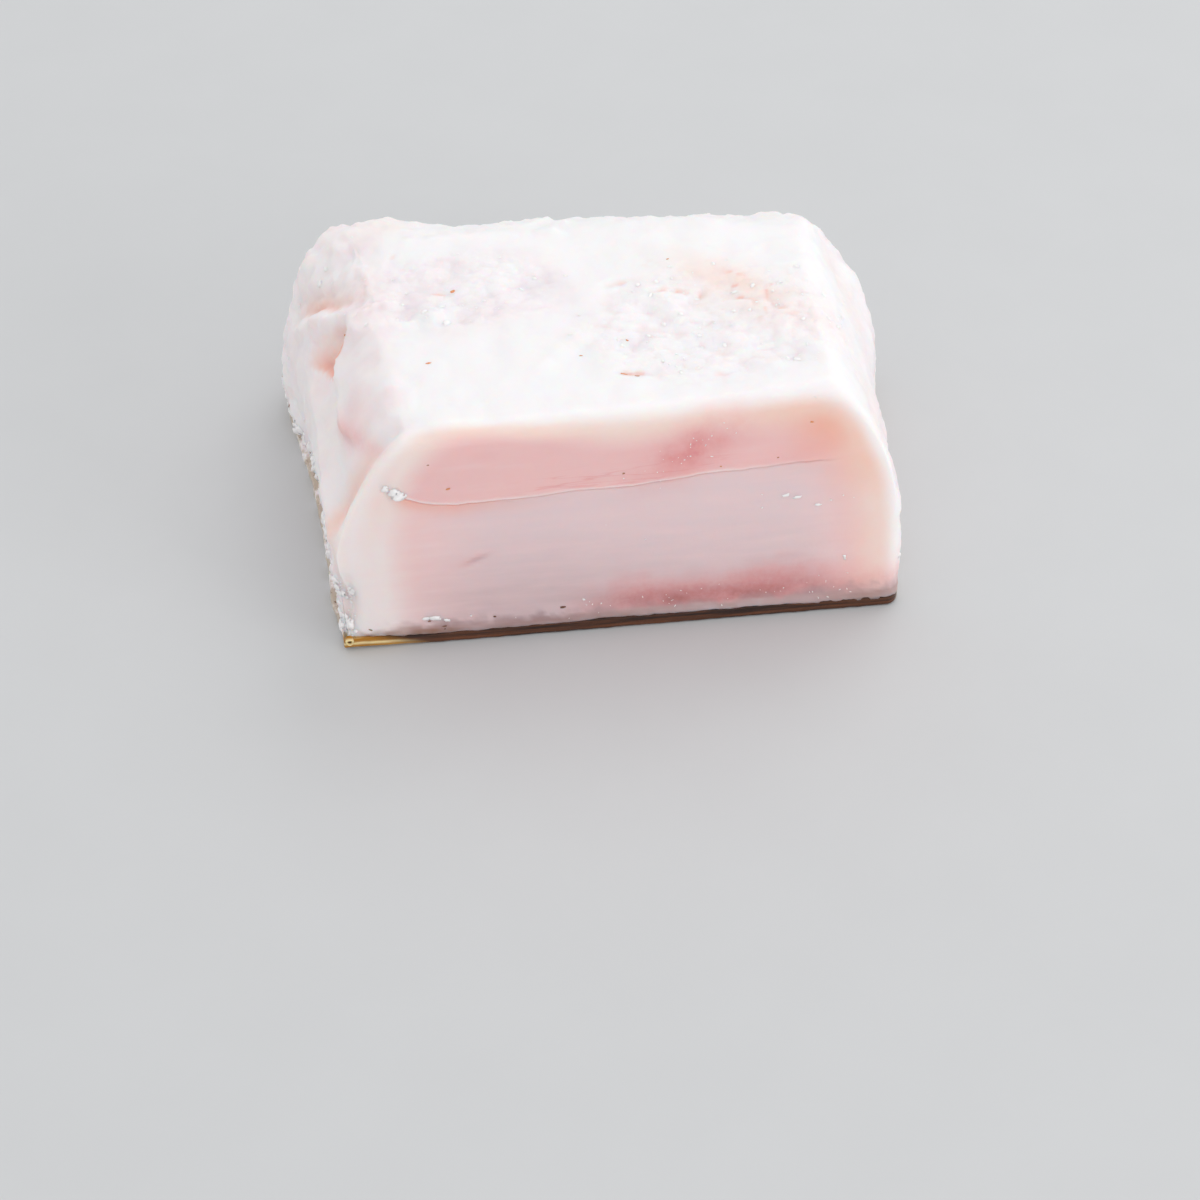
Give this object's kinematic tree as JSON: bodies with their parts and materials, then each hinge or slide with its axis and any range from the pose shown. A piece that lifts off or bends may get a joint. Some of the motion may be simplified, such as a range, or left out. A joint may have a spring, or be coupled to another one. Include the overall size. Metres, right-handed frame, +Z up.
{
  "type": "cured pork fatback",
  "caption": "Block of cured pork back fat on its rind, with a flat cut face, bevelled shoulders and a rough, trimmed top and back.",
  "frame": {"origin": "middle of the flat underside, on the surface the block lies on", "axes": "+X along the cut to the viewer's right, -Y out of the cut face, +Y towards the back, +Z up from the rind to the top"},
  "size_m": [0.1357, 0.1041, 0.0586],
  "materials": {
    "fat": "satin"
  },
  "bodies": {
    "root": {"fatback_block": "fat"}
  },
  "joints": []
}
